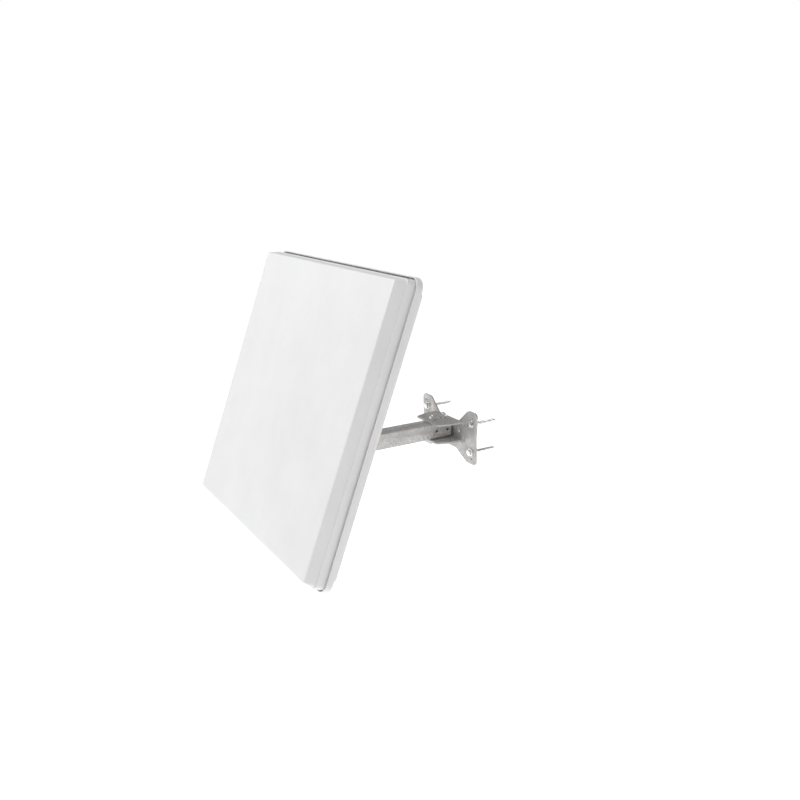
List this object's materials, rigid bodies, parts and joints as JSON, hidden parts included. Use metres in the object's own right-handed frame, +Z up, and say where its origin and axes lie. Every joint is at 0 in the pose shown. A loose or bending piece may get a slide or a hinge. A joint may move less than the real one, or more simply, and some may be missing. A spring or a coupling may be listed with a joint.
{
  "type": "flat-panel satellite antenna",
  "caption": "Square flat-panel satellite antenna that tilts and swivels on a square-tube arm with a pressed steel wall bracket.",
  "frame": {"origin": "centre of the four wall screws, on the back face of the wall bracket", "axes": "+Z up, +Y into the wall, +X to the right of someone who faces the wall; the antenna faces -Y, tilted up"},
  "size_m": [0.5516, 0.5404, 0.5277],
  "materials": {
    "white_cover": "smooth matt moulded plastic",
    "white_tray": "white moulded plastic",
    "rubber": "soft black rubber",
    "foam": "white foam sheet",
    "copper_film": "copper on clear film",
    "feed_film": "amber film with printed lines",
    "aluminium": "mill finish",
    "cast_zinc": "die-cast, fine grain",
    "circuit_board": "green solder mask",
    "nickel": "nickel plate",
    "galvanised": "hot-dip galvanised, dull spangle",
    "zinc_bolt": "bright zinc plate",
    "grey_plastic": "moulded, matt",
    "weld": "galvanised weld bead"
  },
  "bodies": {
    "wall_arm": {"wall_bracket": "galvanised", "wall_screws": "zinc_bolt", "wall_screw_washers": "zinc_bolt", "arm_bolts": "zinc_bolt", "arm_bolt_washers": "zinc_bolt", "arm_bolt_nuts": "zinc_bolt", "arm_tube": "galvanised", "arm_weld": "weld", "mast_tube": "galvanised", "mast_top_cap": "grey_plastic", "mast_bottom_cap": "grey_plastic"},
    "swivel": {"swivel_bracket": "galvanised", "clamp_saddles": "cast_zinc", "u_bolts": "zinc_bolt", "u_bolt_washers": "zinc_bolt", "u_bolt_nuts": "zinc_bolt", "pivot_bolt": "zinc_bolt", "pivot_washers": "zinc_bolt", "pivot_nut": "zinc_bolt"},
    "antenna": {"front_cover": "white_cover", "back_tray": "white_tray", "rim_seal": "rubber", "cover_screws": "zinc_bolt", "front_foam": "foam", "patch_sheet": "copper_film", "middle_foam": "foam", "feed_sheet": "feed_film", "rear_foam": "foam", "ground_plate": "aluminium", "plate_screws": "zinc_bolt", "receiver_case": "cast_zinc", "receiver_board": "circuit_board", "receiver_lid": "aluminium", "cable_sockets": "nickel", "socket_washers": "nickel", "socket_nuts": "nickel", "socket_cap": "rubber", "vent_plug": "grey_plastic", "tilt_bracket": "galvanised", "tilt_bracket_bolts": "zinc_bolt", "tilt_bracket_washers": "zinc_bolt", "lock_bolts": "zinc_bolt", "lock_washers": "zinc_bolt", "lock_nuts": "zinc_bolt"}
  },
  "joints": [
    {"name": "swivel_turn", "type": "hinge", "parent": "wall_arm", "child": "swivel", "pos_m": [0, -0.258, 0.0702], "axis": [0, 0, 1], "range_deg": [-30, 30]},
    {"name": "antenna_tilt", "type": "hinge", "parent": "swivel", "child": "antenna", "pos_m": [0, -0.29235, 0.1277], "axis": [-1, 0, 0], "range_deg": [-20, 30]}
  ]
}
